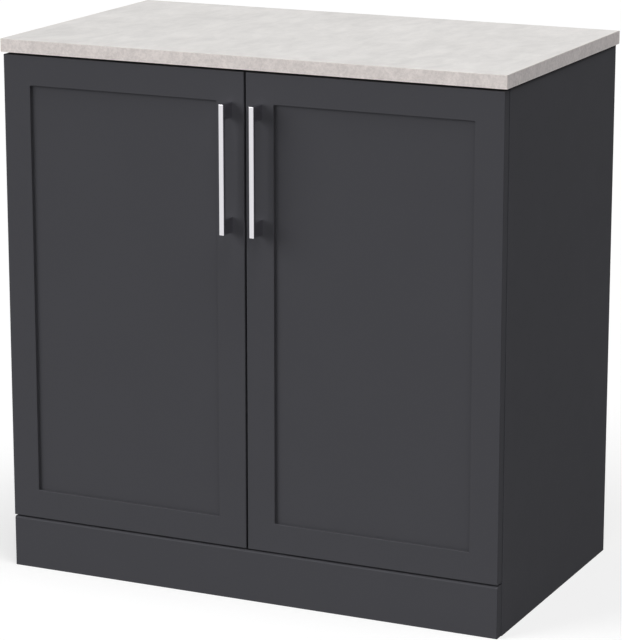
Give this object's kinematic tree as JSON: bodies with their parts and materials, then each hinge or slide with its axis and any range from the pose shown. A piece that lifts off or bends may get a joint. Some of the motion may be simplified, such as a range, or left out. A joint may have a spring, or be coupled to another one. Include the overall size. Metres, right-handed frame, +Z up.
{
  "type": "bathroom vanity",
  "caption": "Freestanding bathroom vanity base with hinged recessed-panel doors, slim upright bar handles, a plinth and a thin square-edged stone-effect worktop.",
  "frame": {"origin": "on the floor, in the middle of the overall width and depth", "axes": "+Z up, -Y towards the front of the doors, +X to the right seen from the front"},
  "size_m": [0.8024, 0.489, 0.817],
  "materials": {
    "carcass_board": "satin anthracite melamine",
    "door_finish": "satin anthracite",
    "back_board": "matt anthracite on hardboard",
    "worktop_core": "raw chipboard",
    "worktop_laminate": "stone-effect, matt",
    "worktop_edging": "stone-effect, matt",
    "handle_chrome": "polished",
    "zinc_screws": "bright zinc",
    "bumper_plastic": "translucent soft plastic",
    "dowel_wood": "plain beech",
    "block_wood": "plain softwood",
    "cam_zinc": "cast zinc",
    "fitting_steel": "nickel plated",
    "hinge_nickel": "nickel plated, satin",
    "hinge_link_steel": "nickel plated"
  },
  "bodies": {
    "carcass": {"arm_pins_left": "hinge_link_steel", "arm_pins_right": "hinge_link_steel", "back_panel": "back_board", "base_panel": "carcass_board", "cam_bolts": "fitting_steel", "cam_locks": "cam_zinc", "dowels": "dowel_wood", "front_top_rail": "carcass_board", "hinge_arm_lower_left": "hinge_nickel", "hinge_arm_lower_right": "hinge_nickel", "hinge_arm_upper_left": "hinge_nickel", "hinge_arm_upper_right": "hinge_nickel", "mounting_plate_lower_left": "hinge_nickel", "mounting_plate_lower_right": "hinge_nickel", "mounting_plate_upper_left": "hinge_nickel", "mounting_plate_upper_right": "hinge_nickel", "plate_screws_left": "zinc_screws", "plate_screws_right": "zinc_screws", "plinth_blocks": "block_wood", "plinth_board": "carcass_board", "plinth_screws": "zinc_screws", "rear_top_rail": "carcass_board", "shelf": "carcass_board", "shelf_pins": "fitting_steel", "side_panel_left": "carcass_board", "side_panel_right": "carcass_board", "wall_rail_lower": "carcass_board", "wall_rail_upper": "carcass_board", "worktop_core": "worktop_core", "worktop_edging_front": "worktop_edging", "worktop_edging_left": "worktop_edging", "worktop_edging_right": "worktop_edging", "worktop_laminate": "worktop_laminate", "worktop_screws": "zinc_screws"},
    "left_outer_links": {"outer_links_lower_left": "hinge_link_steel", "outer_links_upper_left": "hinge_link_steel"},
    "left_inner_links": {"inner_link_lower_left": "hinge_link_steel", "inner_link_upper_left": "hinge_link_steel"},
    "left_door": {"bumpers_left": "bumper_plastic", "cup_pins_left": "hinge_link_steel", "cup_screws_left": "zinc_screws", "door_left": "door_finish", "handle_left": "handle_chrome", "handle_screws_left": "zinc_screws", "hinge_cup_lower_left": "hinge_nickel", "hinge_cup_upper_left": "hinge_nickel"},
    "right_outer_links": {"outer_links_lower_right": "hinge_link_steel", "outer_links_upper_right": "hinge_link_steel"},
    "right_inner_links": {"inner_link_lower_right": "hinge_link_steel", "inner_link_upper_right": "hinge_link_steel"},
    "right_door": {"bumpers_right": "bumper_plastic", "cup_pins_right": "hinge_link_steel", "cup_screws_right": "zinc_screws", "door_right": "door_finish", "handle_right": "handle_chrome", "handle_screws_right": "zinc_screws", "hinge_cup_lower_right": "hinge_nickel", "hinge_cup_upper_right": "hinge_nickel"}
  },
  "joints": [
    {"name": "left_outer_links_pivot", "type": "hinge", "parent": "carcass", "child": "left_outer_links", "pos_m": [-0.36207, -0.18699, 0.4375], "axis": [0, 0, -1], "range_deg": [-41, 0]},
    {"name": "left_door_hinge", "type": "hinge", "parent": "left_outer_links", "child": "left_door", "pos_m": [-0.38806, -0.20105, 0.4375], "axis": [0, 0, -1], "range_deg": [0, 135.19]},
    {"name": "left_inner_links_pivot", "type": "hinge", "parent": "carcass", "child": "left_inner_links", "pos_m": [-0.37138, -0.2014, 0.4375], "axis": [0, 0, -1], "range_deg": [-59, 0]},
    {"name": "right_outer_links_pivot", "type": "hinge", "parent": "carcass", "child": "right_outer_links", "pos_m": [0.36207, -0.18699, 0.4375], "axis": [0, 0, 1], "range_deg": [-41, 0]},
    {"name": "right_door_hinge", "type": "hinge", "parent": "right_outer_links", "child": "right_door", "pos_m": [0.38806, -0.20105, 0.4375], "axis": [0, 0, 1], "range_deg": [0, 135.19]},
    {"name": "right_inner_links_pivot", "type": "hinge", "parent": "carcass", "child": "right_inner_links", "pos_m": [0.37138, -0.2014, 0.4375], "axis": [0, 0, 1], "range_deg": [-59, 0]}
  ],
  "couplings": [
    {"joint": "left_outer_links_pivot", "follows": "left_door_hinge", "ratio": -0.29726},
    {"joint": "left_inner_links_pivot", "follows": "left_door_hinge", "ratio": -0.43078},
    {"joint": "right_outer_links_pivot", "follows": "right_door_hinge", "ratio": -0.29726},
    {"joint": "right_inner_links_pivot", "follows": "right_door_hinge", "ratio": -0.43078}
  ]
}
